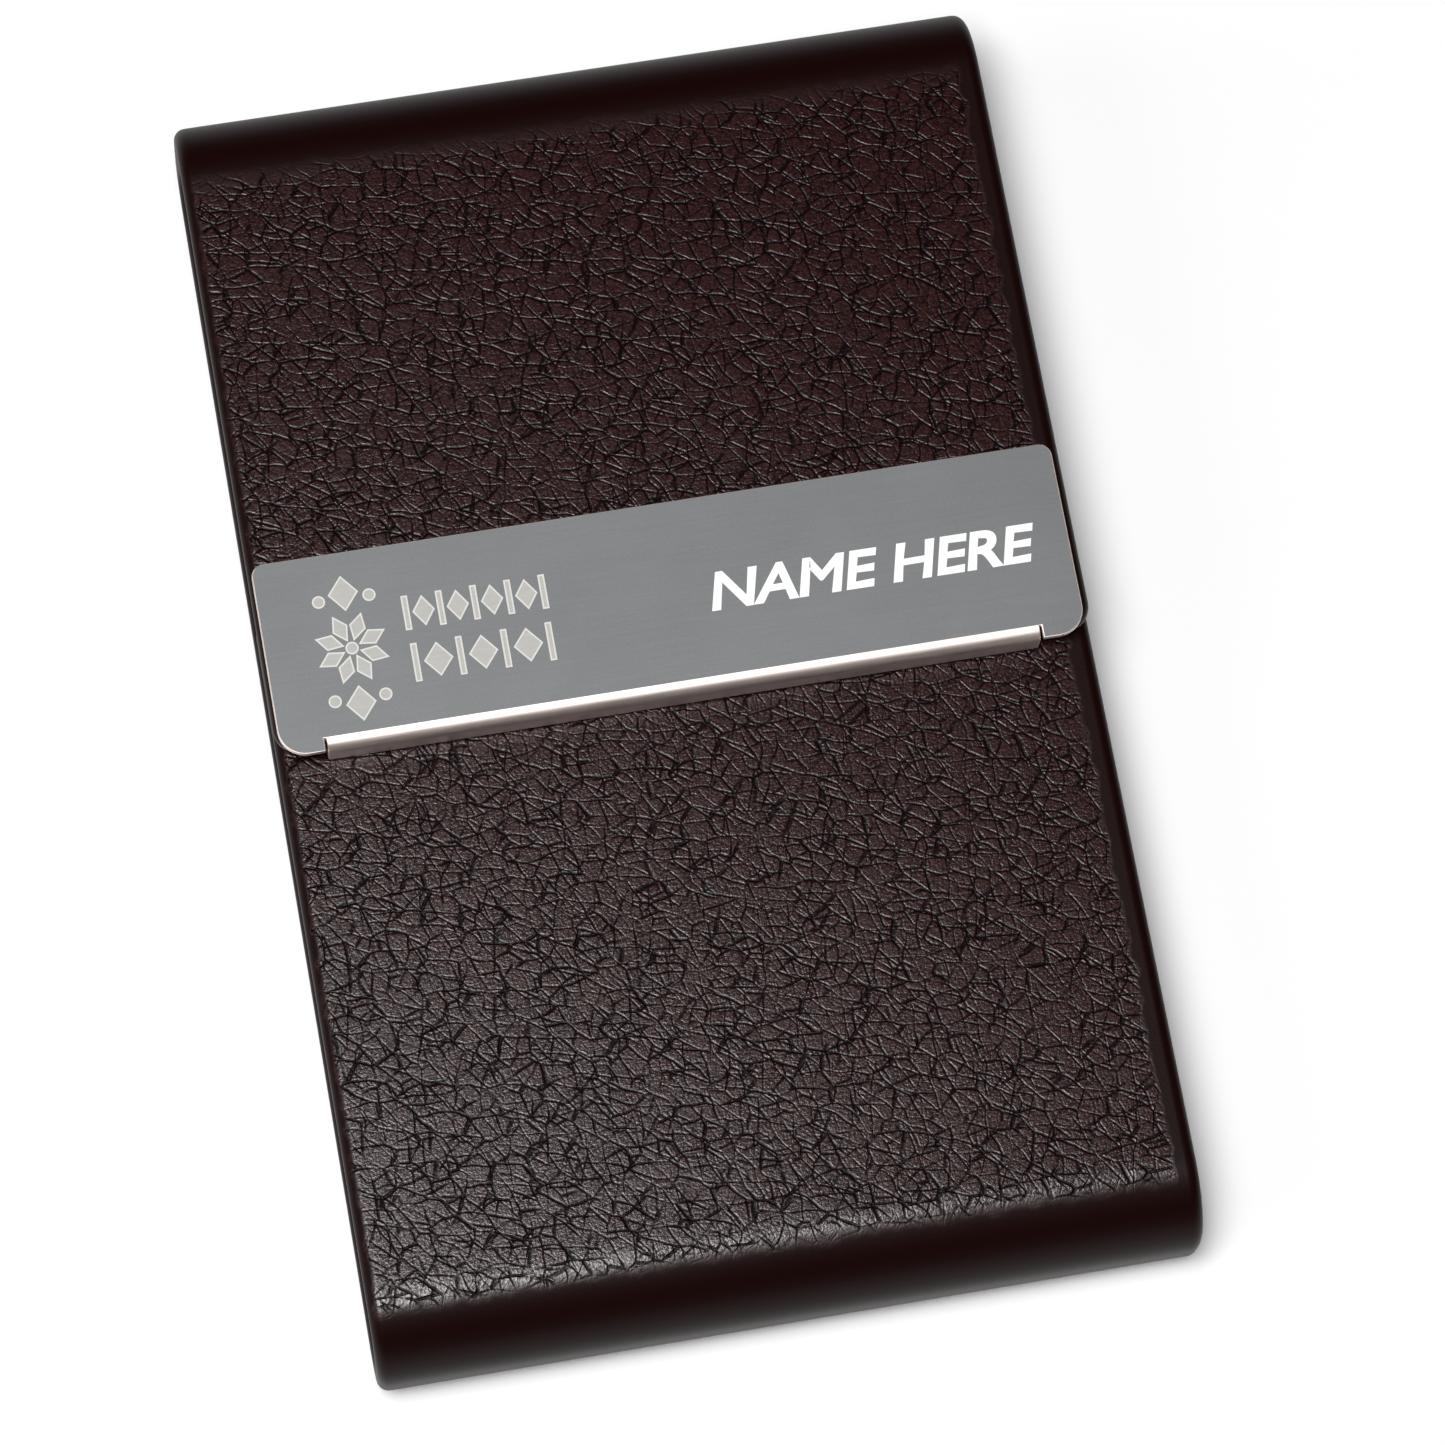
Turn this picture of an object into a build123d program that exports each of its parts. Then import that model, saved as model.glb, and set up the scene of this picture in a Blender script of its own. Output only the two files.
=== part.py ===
"""Flip-top business card case: two bent leather covers, a pressed tray and a metal name plate.

X runs across the case, +Y towards the hinge end and +Z out of the front. The back face rests at
Z = 0 and the case is centred on X = Y = 0. All sizes are in millimetres.
"""

import os

from build123d import *

# Outside of the closed case
WIDTH = 62.0
LENGTH = 98.5
FLAP_TOP = 14.4
POCKET_TOP = 12.1
FRONT_BEND_R = 6.0
BACK_BEND_R = 4.5

# The live hinge is a crease across the hinge end; the two covers stop just short of it
CREASE_Z = 7.6
CREASE_GAP = 0.15

# Free edges of the two covers on the front
POCKET_MOUTH_Y = 8.5
FLAP_EDGE_Y = -2.6

# Build-up of both covers, outside to inside
LEATHER_T = 0.8
BOARD_T = 0.75
LINING_T = 0.45
COVER_T = LEATHER_T + BOARD_T + LINING_T
BOARD_DEPTH = LEATHER_T + BOARD_T
EDGE_R = 0.7
POCKET_CORNER_R = 1.2
FLAP_CORNER_R = 2.0

# The board stops short of every folded leather edge, and the lining leaves a leather border
BOARD_W = WIDTH - 2 * LEATHER_T
BOARD_MARGIN = 0.8
FLAP_INNER_MARGIN = 0.6
LINING_W = 55.0
LINING_MARGIN = 3.2

# Pressed tray
TRAY_T = 0.5
TRAY_W = 59.2
TRAY_END_GAP = 0.4
TRAY_HALF_L = LENGTH / 2 - COVER_T - TRAY_END_GAP
TRAY_BASE_Z = COVER_T
TRAY_BEND_R = BACK_BEND_R - COVER_T
TRAY_END_TOP_Z = 7.2
WALL_CORNER_R = FRONT_BEND_R - COVER_T - TRAY_END_GAP
WALL_LOW_Z = POCKET_TOP - COVER_T - TRAY_END_GAP
WALL_HIGH_Z = FLAP_TOP - COVER_T - TRAY_END_GAP
WALL_STEP_Y = POCKET_MOUTH_Y + 0.5

# What holds the tray down, and what lies in it
TAPE_W = 55.0
TAPE_L = 84.0
RIVET_X = 20.0
RIVET_Y = 38.0
RIVET_SHANK_R = 0.8
RIVET_HEAD_R = 1.6
RIVET_HEAD_T = 0.35
PAD_T = 0.5
PAD_W = 57.6
PAD_L = 87.6
PAD_HOLE_R = 2.1

# Magnetic closure
MAGNET_X = 18.0
MAGNET_Y = 3.2
MAGNET_R = 3.5
CUP_R = 4.0
CUP_T = 0.2
KEEPER_R = 4.0

# Name plate
PLATE_T = 0.5
PLATE_W = 61.0
GLUE_T = 0.1
PLATE_BOTTOM_Z = FLAP_TOP + GLUE_T
PLATE_X = -0.2
PLATE_TOP_Y = 11.9
PLATE_LOW_Y = -3.2
PLATE_TOP_CORNER_R = 1.0
PLATE_LOW_CORNER_R = 2.1
LIP_W = 54.0
LIP_END_Z = 12.45
LIP_BEND_R = 1.0
NOTCH_W = 0.5
NOTCH_L = 1.2


def body_section(outer, inner, hinge_end_z, front_end_y):
    """One layer of the case cover: down the hinge end, along the back, and over to the front."""
    depth = (outer + inner) / 2
    end_y = LENGTH / 2 - depth
    with BuildSketch(Plane.YZ) as section:
        with BuildLine():
            FilletPolyline(
                (end_y, hinge_end_z),
                (end_y, depth),
                (-end_y, depth),
                (-end_y, POCKET_TOP - depth),
                (front_end_y, POCKET_TOP - depth),
                radius=[BACK_BEND_R - depth, BACK_BEND_R - depth, FRONT_BEND_R - depth],
            )
        trace(line_width=inner - outer)
    return section.sketch


def pocket_section(outer, inner, low_z, front_end_y):
    """One layer of the closed end and the pocket front only."""
    depth = (outer + inner) / 2
    end_y = LENGTH / 2 - depth
    with BuildSketch(Plane.YZ) as section:
        with BuildLine():
            FilletPolyline(
                (-end_y, low_z),
                (-end_y, POCKET_TOP - depth),
                (front_end_y, POCKET_TOP - depth),
                radius=FRONT_BEND_R - depth,
            )
        trace(line_width=inner - outer)
    return section.sketch


def flap_section(outer, inner, low_z, free_end_y):
    """One layer of the flap: up from the crease, round the front bend and down the front."""
    depth = (outer + inner) / 2
    end_y = LENGTH / 2 - depth
    with BuildSketch(Plane.YZ) as section:
        with BuildLine():
            FilletPolyline(
                (end_y, low_z),
                (end_y, FLAP_TOP - depth),
                (free_end_y, FLAP_TOP - depth),
                radius=FRONT_BEND_R - depth,
            )
        trace(line_width=inner - outer)
    return section.sketch


def long_edges(part, crease_z):
    """The edges round the two sides of a bent cover, apart from its cut end at the crease."""
    side_edges = part.faces().filter_by(Axis.X).edges()
    return side_edges.filter_by(lambda edge: abs(edge.center().Z - crease_z) > 0.01)


def corner_edges(part, y):
    """The two short upright edges at a cover's free corners."""
    return part.edges().filter_by(Axis.Z).filter_by_position(Axis.Y, y - 0.01, y + 0.01)


# Case cover: one leather envelope over the hinge end, the back, the closed end and the pocket
BODY_TOP_Z = CREASE_Z - CREASE_GAP
BODY_BOARD_TOP_Z = BODY_TOP_Z - BOARD_MARGIN
POCKET_BOARD_Y = POCKET_MOUTH_Y - BOARD_MARGIN
POCKET_LINING_Y = POCKET_MOUTH_Y - LINING_MARGIN
POCKET_LINING_LOW_Z = BACK_BEND_R

with BuildPart() as case_leather:
    extrude(body_section(0, COVER_T, BODY_TOP_Z, POCKET_MOUTH_Y), amount=WIDTH / 2, both=True)
    fillet(corner_edges(case_leather, POCKET_MOUTH_Y), POCKET_CORNER_R)
    fillet(long_edges(case_leather, BODY_TOP_Z), EDGE_R)
    extrude(
        body_section(LEATHER_T, BOARD_DEPTH, BODY_BOARD_TOP_Z, POCKET_BOARD_Y),
        amount=BOARD_W / 2,
        both=True,
        mode=Mode.SUBTRACT,
    )
    extrude(
        pocket_section(BOARD_DEPTH, COVER_T, POCKET_LINING_LOW_Z, POCKET_LINING_Y),
        amount=LINING_W / 2,
        both=True,
        mode=Mode.SUBTRACT,
    )
    with BuildSketch(Plane.XY.offset(BOARD_DEPTH)):
        Rectangle(TAPE_W, TAPE_L)
    extrude(amount=LINING_T, mode=Mode.SUBTRACT)

# Stiffener board inside the case cover, punched for the keepers and the rivets
KEEPER_Z = POCKET_TOP - BOARD_DEPTH
with BuildPart() as case_board:
    extrude(
        body_section(LEATHER_T, BOARD_DEPTH, BODY_BOARD_TOP_Z, POCKET_BOARD_Y),
        amount=BOARD_W / 2,
        both=True,
    )
    with BuildSketch(Plane.XY.offset(KEEPER_Z)):
        with Locations((-MAGNET_X, MAGNET_Y), (MAGNET_X, MAGNET_Y)):
            Circle(KEEPER_R)
    extrude(amount=BOARD_T, mode=Mode.SUBTRACT)
    with BuildSketch(Plane.XY.offset(LEATHER_T)):
        with GridLocations(2 * RIVET_X, 2 * RIVET_Y, 2, 2):
            Circle(RIVET_SHANK_R)
    extrude(amount=BOARD_T, mode=Mode.SUBTRACT)

# Steel keeper discs in the pocket front, under the magnets
with BuildPart() as keeper_discs:
    with BuildSketch(Plane.XY.offset(KEEPER_Z)):
        with Locations((-MAGNET_X, MAGNET_Y), (MAGNET_X, MAGNET_Y)):
            Circle(KEEPER_R)
    extrude(amount=BOARD_T)

# Velvet lining of the pocket front and the closed end
with BuildPart() as pocket_lining:
    extrude(
        pocket_section(BOARD_DEPTH, COVER_T, POCKET_LINING_LOW_Z, POCKET_LINING_Y),
        amount=LINING_W / 2,
        both=True,
    )

# Mounting tape between the back board and the tray floor
with BuildPart() as tray_tape:
    with BuildSketch(Plane.XY.offset(BOARD_DEPTH)):
        Rectangle(TAPE_W, TAPE_L)
        with GridLocations(2 * RIVET_X, 2 * RIVET_Y, 2, 2):
            Circle(RIVET_SHANK_R, mode=Mode.SUBTRACT)
    extrude(amount=LINING_T)

# Pressed tray: a floor turned up at both ends, and two side walls stepped at the pocket's mouth
tray_middle = TRAY_T / 2
with BuildPart() as tray:
    with BuildSketch(Plane.YZ):
        with BuildLine():
            FilletPolyline(
                (-TRAY_HALF_L + tray_middle, TRAY_END_TOP_Z),
                (-TRAY_HALF_L + tray_middle, TRAY_BASE_Z + tray_middle),
                (TRAY_HALF_L - tray_middle, TRAY_BASE_Z + tray_middle),
                (TRAY_HALF_L - tray_middle, TRAY_END_TOP_Z),
                radius=TRAY_BEND_R - tray_middle,
            )
        trace(line_width=TRAY_T)
    extrude(amount=TRAY_W / 2, both=True)
    with BuildSketch(Plane.YZ.offset(TRAY_W / 2 - TRAY_T)) as wall:
        with BuildLine():
            FilletPolyline(
                (-TRAY_HALF_L, TRAY_BASE_Z),
                (TRAY_HALF_L, TRAY_BASE_Z),
                (TRAY_HALF_L, WALL_HIGH_Z),
                (WALL_STEP_Y, WALL_HIGH_Z),
                (WALL_STEP_Y, WALL_LOW_Z),
                (-TRAY_HALF_L, WALL_LOW_Z),
                radius=[TRAY_BEND_R, TRAY_BEND_R, WALL_CORNER_R, 1.2, 0.6, WALL_CORNER_R],
                close=True,
            )
        make_face()
    extrude(amount=TRAY_T)
    mirror(about=Plane.YZ)
    with Locations(Plane.XY.offset(TRAY_BASE_Z + TRAY_T)):
        with GridLocations(2 * RIVET_X, 2 * RIVET_Y, 2, 2):
            Hole(RIVET_SHANK_R, depth=TRAY_T)

# Four flat-headed rivets through the tray floor, the tape and the back board
with BuildPart() as tray_rivets:
    with BuildSketch(Plane.XY.offset(LEATHER_T)):
        with GridLocations(2 * RIVET_X, 2 * RIVET_Y, 2, 2):
            Circle(RIVET_SHANK_R)
    extrude(amount=TRAY_BASE_Z + TRAY_T - LEATHER_T)
    with BuildSketch(Plane.XY.offset(TRAY_BASE_Z + TRAY_T)):
        with GridLocations(2 * RIVET_X, 2 * RIVET_Y, 2, 2):
            Circle(RIVET_HEAD_R)
    extrude(amount=RIVET_HEAD_T)

# Velvet pad on the tray floor, with a clearance hole over each rivet head
with BuildPart() as tray_pad:
    with BuildSketch(Plane.XY.offset(TRAY_BASE_Z + TRAY_T)):
        RectangleRounded(PAD_W, PAD_L, 1.5)
        with GridLocations(2 * RIVET_X, 2 * RIVET_Y, 2, 2):
            Circle(PAD_HOLE_R, mode=Mode.SUBTRACT)
    extrude(amount=PAD_T)

# Flap cover: the leather envelope above the crease
FLAP_LOW_Z = CREASE_Z + CREASE_GAP
FLAP_INNER_LOW_Z = FLAP_LOW_Z + FLAP_INNER_MARGIN
FLAP_BOARD_Y = FLAP_EDGE_Y + BOARD_MARGIN
FLAP_LINING_Y = FLAP_EDGE_Y + LINING_MARGIN

with BuildPart() as flap_leather:
    extrude(flap_section(0, COVER_T, FLAP_LOW_Z, FLAP_EDGE_Y), amount=WIDTH / 2, both=True)
    fillet(corner_edges(flap_leather, FLAP_EDGE_Y), FLAP_CORNER_R)
    fillet(long_edges(flap_leather, FLAP_LOW_Z), EDGE_R)
    extrude(
        flap_section(LEATHER_T, BOARD_DEPTH, FLAP_INNER_LOW_Z, FLAP_BOARD_Y),
        amount=BOARD_W / 2,
        both=True,
        mode=Mode.SUBTRACT,
    )
    extrude(
        flap_section(BOARD_DEPTH, COVER_T, FLAP_INNER_LOW_Z, FLAP_LINING_Y),
        amount=LINING_W / 2,
        both=True,
        mode=Mode.SUBTRACT,
    )

# Stiffener board inside the flap, punched for the magnets
MAGNET_Z = FLAP_TOP - BOARD_DEPTH
with BuildPart() as flap_board:
    extrude(
        flap_section(LEATHER_T, BOARD_DEPTH, FLAP_INNER_LOW_Z, FLAP_BOARD_Y),
        amount=BOARD_W / 2,
        both=True,
    )
    with BuildSketch(Plane.XY.offset(MAGNET_Z)):
        with Locations((-MAGNET_X, MAGNET_Y), (MAGNET_X, MAGNET_Y)):
            Circle(CUP_R)
    extrude(amount=BOARD_T, mode=Mode.SUBTRACT)

# Velvet lining of the flap
with BuildPart() as flap_lining:
    extrude(
        flap_section(BOARD_DEPTH, COVER_T, FLAP_INNER_LOW_Z, FLAP_LINING_Y),
        amount=LINING_W / 2,
        both=True,
    )

# Two disc magnets, each in a steel cup that is open towards the keeper
with BuildPart() as magnet_cups:
    with BuildSketch(Plane.XY.offset(MAGNET_Z)):
        with Locations((-MAGNET_X, MAGNET_Y), (MAGNET_X, MAGNET_Y)):
            Circle(CUP_R)
    extrude(amount=BOARD_T)
    with BuildSketch(Plane.XY.offset(MAGNET_Z)):
        with Locations((-MAGNET_X, MAGNET_Y), (MAGNET_X, MAGNET_Y)):
            Circle(MAGNET_R)
    extrude(amount=BOARD_T - CUP_T, mode=Mode.SUBTRACT)

with BuildPart() as flap_magnets:
    with BuildSketch(Plane.XY.offset(MAGNET_Z)):
        with Locations((-MAGNET_X, MAGNET_Y), (MAGNET_X, MAGNET_Y)):
            Circle(MAGNET_R)
    extrude(amount=BOARD_T - CUP_T)

# Adhesive film under the name plate
FILM_INSET = 1.5
FILM_LOW_Y = FLAP_EDGE_Y + FILM_INSET
FILM_TOP_Y = PLATE_TOP_Y - FILM_INSET
with BuildPart() as plate_film:
    with BuildSketch(Plane.XY.offset(FLAP_TOP)):
        with Locations((PLATE_X, (FILM_TOP_Y + FILM_LOW_Y) / 2)):
            Rectangle(PLATE_W - 2 * FILM_INSET, FILM_TOP_Y - FILM_LOW_Y)
    extrude(amount=GLUE_T)

# Name plate: a flat blank whose lower edge is bent down over the flap's free edge
plate_height = PLATE_TOP_Y - PLATE_LOW_Y
bend_y = PLATE_LOW_Y + LIP_BEND_R
plate_middle_z = PLATE_BOTTOM_Z + PLATE_T / 2
with BuildPart() as name_plate:
    with BuildSketch(Plane.XY.offset(PLATE_BOTTOM_Z)) as blank:
        with Locations((PLATE_X, PLATE_LOW_Y + plate_height / 2)):
            Rectangle(PLATE_W, plate_height)
        fillet(blank.vertices().group_by(Axis.Y)[-1], PLATE_TOP_CORNER_R)
        fillet(blank.vertices().group_by(Axis.Y)[0], PLATE_LOW_CORNER_R)
        with Locations((PLATE_X, bend_y - LIP_BEND_R / 2)):
            Rectangle(LIP_W + 2 * NOTCH_W, LIP_BEND_R, mode=Mode.SUBTRACT)
        with Locations((PLATE_X, bend_y)):
            with GridLocations(LIP_W + NOTCH_W, 0, 2, 1):
                Circle(NOTCH_W / 2, mode=Mode.SUBTRACT)
    extrude(amount=PLATE_T)
    with BuildSketch(Plane.YZ.offset(PLATE_X)):
        with BuildLine():
            FilletPolyline(
                (bend_y + NOTCH_L, plate_middle_z),
                (PLATE_LOW_Y + PLATE_T / 2, plate_middle_z),
                (PLATE_LOW_Y + PLATE_T / 2, LIP_END_Z),
                radius=LIP_BEND_R - PLATE_T / 2,
            )
        trace(line_width=PLATE_T)
    extrude(amount=LIP_W / 2, both=True)

PIECES = {
    "case_leather": case_leather,
    "case_board": case_board,
    "keeper_discs": keeper_discs,
    "pocket_lining": pocket_lining,
    "tray_tape": tray_tape,
    "tray": tray,
    "tray_rivets": tray_rivets,
    "tray_pad": tray_pad,
    "flap_leather": flap_leather,
    "flap_board": flap_board,
    "flap_lining": flap_lining,
    "magnet_cups": magnet_cups,
    "flap_magnets": flap_magnets,
    "plate_film": plate_film,
    "name_plate": name_plate,
}

os.makedirs("parts", exist_ok=True)
for label, piece in PIECES.items():
    piece.part.label = label
    export_step(piece.part, f"parts/{label}.step")
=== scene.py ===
from math import cos, pi, radians, sin, sqrt

import bmesh
import bpy
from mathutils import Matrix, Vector


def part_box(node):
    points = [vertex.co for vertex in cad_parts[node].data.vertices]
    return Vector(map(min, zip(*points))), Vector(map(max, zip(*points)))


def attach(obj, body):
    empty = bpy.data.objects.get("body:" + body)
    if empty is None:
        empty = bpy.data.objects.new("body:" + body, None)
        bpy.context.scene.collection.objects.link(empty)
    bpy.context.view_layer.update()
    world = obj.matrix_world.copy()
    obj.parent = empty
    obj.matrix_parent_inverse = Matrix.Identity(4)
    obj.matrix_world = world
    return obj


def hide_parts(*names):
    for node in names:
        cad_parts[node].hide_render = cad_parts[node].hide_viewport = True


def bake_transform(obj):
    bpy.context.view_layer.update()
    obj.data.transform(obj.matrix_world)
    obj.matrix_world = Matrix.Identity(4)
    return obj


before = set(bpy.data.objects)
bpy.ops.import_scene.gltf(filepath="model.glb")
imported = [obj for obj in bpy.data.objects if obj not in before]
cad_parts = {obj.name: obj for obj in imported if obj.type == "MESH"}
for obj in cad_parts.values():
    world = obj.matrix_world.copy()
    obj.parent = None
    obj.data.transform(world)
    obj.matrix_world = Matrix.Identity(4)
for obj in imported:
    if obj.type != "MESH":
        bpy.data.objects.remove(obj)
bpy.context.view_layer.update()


# ---- Camera, floor and lights -------------------------------------------------------------
# The case lies on a pale table under one large soft light, a little to the front left. The
# camera looks down on it through a long lens.
MM = 0.001
CAMERA_PLACE = (-42.22, -123.43, 450.0)
CAMERA_TURN = (15.843, -2.995, -10.169)
CAMERA_LENS = 151.7
ROOM_GREY = 0.012
FLOOR_Z = -0.02

camera_data = bpy.data.cameras.new("camera")
camera = bpy.data.objects.new("camera", camera_data)
bpy.context.scene.collection.objects.link(camera)
bpy.context.scene.camera = camera
camera.location = [place * MM for place in CAMERA_PLACE]
camera.rotation_euler = [radians(turn) for turn in CAMERA_TURN]
camera_data.sensor_width = 36.0
camera_data.lens = CAMERA_LENS
camera_data.clip_start = 0.01
camera_data.clip_end = 20.0


def soft_light(name, place, size, power):
    """A soft box at a place in metres, turned to face the case."""
    data = bpy.data.lights.new(name, "AREA")
    data.shape = "RECTANGLE"
    data.size, data.size_y = size
    data.energy = power
    light = bpy.data.objects.new(name, data)
    bpy.context.scene.collection.objects.link(light)
    light.location = place
    light.rotation_euler = (-Vector(place)).to_track_quat("-Z", "Y").to_euler()


soft_light("overhead_softbox", (-0.18, -0.13, 1.00), (0.42, 0.42), 11.5)
soft_light("left_reflector", (-0.95, -0.10, 0.42), (0.70, 1.00), 2.6)


def hex_colour(code):
    """An sRGB hex colour as linear values."""
    values = [int(code[i : i + 2], 16) / 255 for i in (1, 3, 5)]
    linear = [v / 12.92 if v <= 0.04045 else ((v + 0.055) / 1.055) ** 2.4 for v in values]
    return (*linear, 1.0)


def add_node(tree, kind, links=None, **settings):
    """Adds a node. Links maps an input to a node, to one of its outputs, or to a plain value."""
    node = tree.nodes.new(kind)
    for key, value in settings.items():
        setattr(node, key, value)
    for key, value in (links or {}).items():
        if isinstance(value, bpy.types.Node):
            value = next(socket for socket in value.outputs if socket.enabled)
        if isinstance(value, bpy.types.NodeSocket):
            tree.links.new(value, node.inputs[key])
        else:
            node.inputs[key].default_value = value
    return node


def per_mm(size_mm):
    """The scale of a pattern whose cells or lines are so many millimetres across."""
    return 1 / (size_mm * MM)


def new_material(name):
    """An empty material, its node tree, and the place on the piece that its patterns read."""
    material = bpy.data.materials.new(name)
    material.use_nodes = True
    tree = material.node_tree
    tree.nodes.clear()
    return material, tree, add_node(tree, "ShaderNodeTexCoord").outputs["Object"]


world = bpy.data.worlds.new("studio")
bpy.context.scene.world = world
world.use_nodes = True
room = world.node_tree.nodes["Background"]
room.inputs["Color"].default_value = (ROOM_GREY, ROOM_GREY, ROOM_GREY, 1)
bpy.context.scene.view_settings.view_transform = "Standard"

bpy.ops.object.select_all(action="DESELECT")
bpy.ops.mesh.primitive_plane_add(size=6.0, location=(0, 0, FLOOR_Z * MM))
floor = bpy.context.object
floor.name = "table"
table_paint, tree, _ = new_material("matt_white_table")
shader = add_node(
    tree, "ShaderNodeBsdfPrincipled", {"Base Color": hex_colour("#fbfbfb"), "Roughness": 0.9}
)
add_node(tree, "ShaderNodeOutputMaterial", {"Surface": shader})
floor.data.materials.append(table_paint)


# ---- Leather of the case ------------------------------------------------------------------
# One piece of embossed PU leather is folded round a stiffener board: up the hinge end as far
# as the crease, along the back, round the closed end and over the front to the pocket's mouth.
def node_box(name):
    """The lowest and highest corners of one of the case's pieces, in millimetres."""
    return [[round(value / MM, 3) for value in corner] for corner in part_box(name)]


HALF_W, HALF_L, POCKET_TOP = node_box("case_leather")[1]
CREASE_Z = 7.6
SEAM_Z = CREASE_Z - 1.6
COVER_T = 2.0
BACK_R = 4.5
FRONT_R = 6.0
TURNED_R = 0.9
MOUTH_Y = 8.5
POCKET_CORNER_R = 1.2
CELLS_ACROSS = 62
BEND_STEPS = 14
SMOOTH_ANGLE = 35
NEAR = 0.01


def start_section(name, half_width, middle_y, z, thickness, corner_r, cells):
    """The cut end of a bent sheet: a flat strip of cells with rounded ends, in edit mode."""
    bpy.ops.object.select_all(action="DESELECT")
    bpy.ops.mesh.primitive_grid_add(
        x_subdivisions=cells, y_subdivisions=1, size=1, location=(0, middle_y * MM, z * MM)
    )
    strip = bpy.context.object
    strip.name = name
    strip.scale = (2 * half_width * MM, thickness * MM, 1)
    bpy.ops.object.transform_apply(location=True, rotation=True, scale=True)
    bpy.ops.object.mode_set(mode="EDIT")
    bpy.ops.mesh.select_all(action="DESELECT")
    mesh = bmesh.from_edit_mesh(strip.data)
    for vertex in mesh.verts:
        vertex.select = abs(vertex.co.x) > (half_width - NEAR) * MM
    mesh.select_flush_mode()
    bmesh.update_edit_mesh(strip.data)
    bpy.ops.mesh.select_mode(type="VERT")
    bpy.ops.mesh.bevel(offset=corner_r * MM, segments=5, affect="VERTICES")
    bpy.ops.mesh.select_all(action="SELECT")
    return strip


def run(y=0.0, z=0.0, steps=1):
    """Draws the selected end on in a straight line, in equal steps."""
    for _ in range(steps):
        bpy.ops.mesh.extrude_region_move(
            TRANSFORM_OT_translate={"value": (0, y * MM / steps, z * MM / steps)}
        )


def bend(y, z, degrees, steps=BEND_STEPS):
    """Draws the selected end round a bend about the line through (y, z) across the case."""
    bpy.ops.mesh.spin(
        steps=steps, angle=-radians(degrees), center=(0, y * MM, z * MM), axis=(1, 0, 0)
    )


def rounded_end(direction, middle_z, thickness, half_width, corner_r, edge_r, steps=8):
    """Draws the selected end on along Y, round in plan at its corners and in section at its edge."""
    before_x, before_z, before_s = 1.0, 1.0, 0.0
    for i in range(1, steps + 1):
        along = corner_r * sin(i / steps * pi / 2)
        left = corner_r - along
        wide = (half_width - corner_r + sqrt(max(corner_r**2 - along**2, 0))) / half_width
        tight = 1.0
        if left < edge_r:
            tight = thickness / 2 - edge_r + sqrt(max(edge_r**2 - (edge_r - left) ** 2, 0))
            tight /= thickness / 2
        run(y=direction * (along - before_s))
        bpy.ops.transform.resize(
            value=(wide / before_x, 1, tight / before_z), center_override=(0, 0, middle_z * MM)
        )
        before_x, before_z, before_s = wide, tight, along


def smooth(piece):
    """Shades a piece smooth but for its real edges."""
    bpy.ops.object.select_all(action="DESELECT")
    piece.select_set(True)
    bpy.ops.object.shade_smooth_by_angle(angle=radians(SMOOTH_ANGLE))
    piece.select_set(False)


def finish_mesh(piece):
    """Leaves edit mode with clean outward faces, shaded smooth."""
    bpy.ops.mesh.select_all(action="SELECT")
    bpy.ops.mesh.remove_doubles(threshold=0.002 * MM)
    bpy.ops.mesh.normals_make_consistent(inside=False)
    bpy.ops.object.mode_set(mode="OBJECT")
    smooth(piece)


def check_solid(piece):
    """Stops the script if a piece isn't a closed solid that faces outwards."""
    mesh = bmesh.new()
    mesh.from_mesh(piece.data)
    closed = all(len(edge.link_faces) == 2 for edge in mesh.edges)
    outward = mesh.calc_volume(signed=True) > 0
    mesh.free()
    if not (closed and outward):
        raise RuntimeError(piece.name + " isn't a closed outward solid")


inner_y = HALF_L - COVER_T / 2
case_skin = start_section("case_leather_skin", HALF_W, inner_y, SEAM_Z, COVER_T, TURNED_R, CELLS_ACROSS)
run(z=-(SEAM_Z - BACK_R), steps=2)
bend(HALF_L - BACK_R, BACK_R, -90)
run(y=-2 * (HALF_L - BACK_R), steps=88)
bend(-HALF_L + BACK_R, BACK_R, -90)
run(z=POCKET_TOP - BACK_R - FRONT_R, steps=1)
bend(-HALF_L + FRONT_R, POCKET_TOP - FRONT_R, -90)
run(y=MOUTH_Y - POCKET_CORNER_R + HALF_L - FRONT_R, steps=50)
rounded_end(1, POCKET_TOP - COVER_T / 2, COVER_T, HALF_W, POCKET_CORNER_R, TURNED_R)
finish_mesh(case_skin)
check_solid(case_skin)


# Embossed PU leather: creases from a roller cross each other at three slants and leave cells 1
# to 2 mm across, with finer folds inside them. The grain dies out over the turned edges and the
# bends, which stay smooth. A thin clear finish gives it a narrow greyish shine.
def wandering(tree, place, size_mm, push_mm):
    """The place, pushed about by soft noise of one size, so that straight lines wander."""
    noise = add_node(
        tree, "ShaderNodeTexNoise", {"Vector": place, "Scale": per_mm(size_mm), "Detail": 1.0}
    )
    centred = add_node(
        tree,
        "ShaderNodeVectorMath",
        {0: noise.outputs["Color"], 1: (0.5, 0.5, 0.5)},
        operation="SUBTRACT",
    )
    push = 2 * push_mm * MM
    return add_node(
        tree,
        "ShaderNodeVectorMath",
        {0: centred, 1: (push, push, push), 2: place},
        operation="MULTIPLY_ADD",
    )


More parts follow.
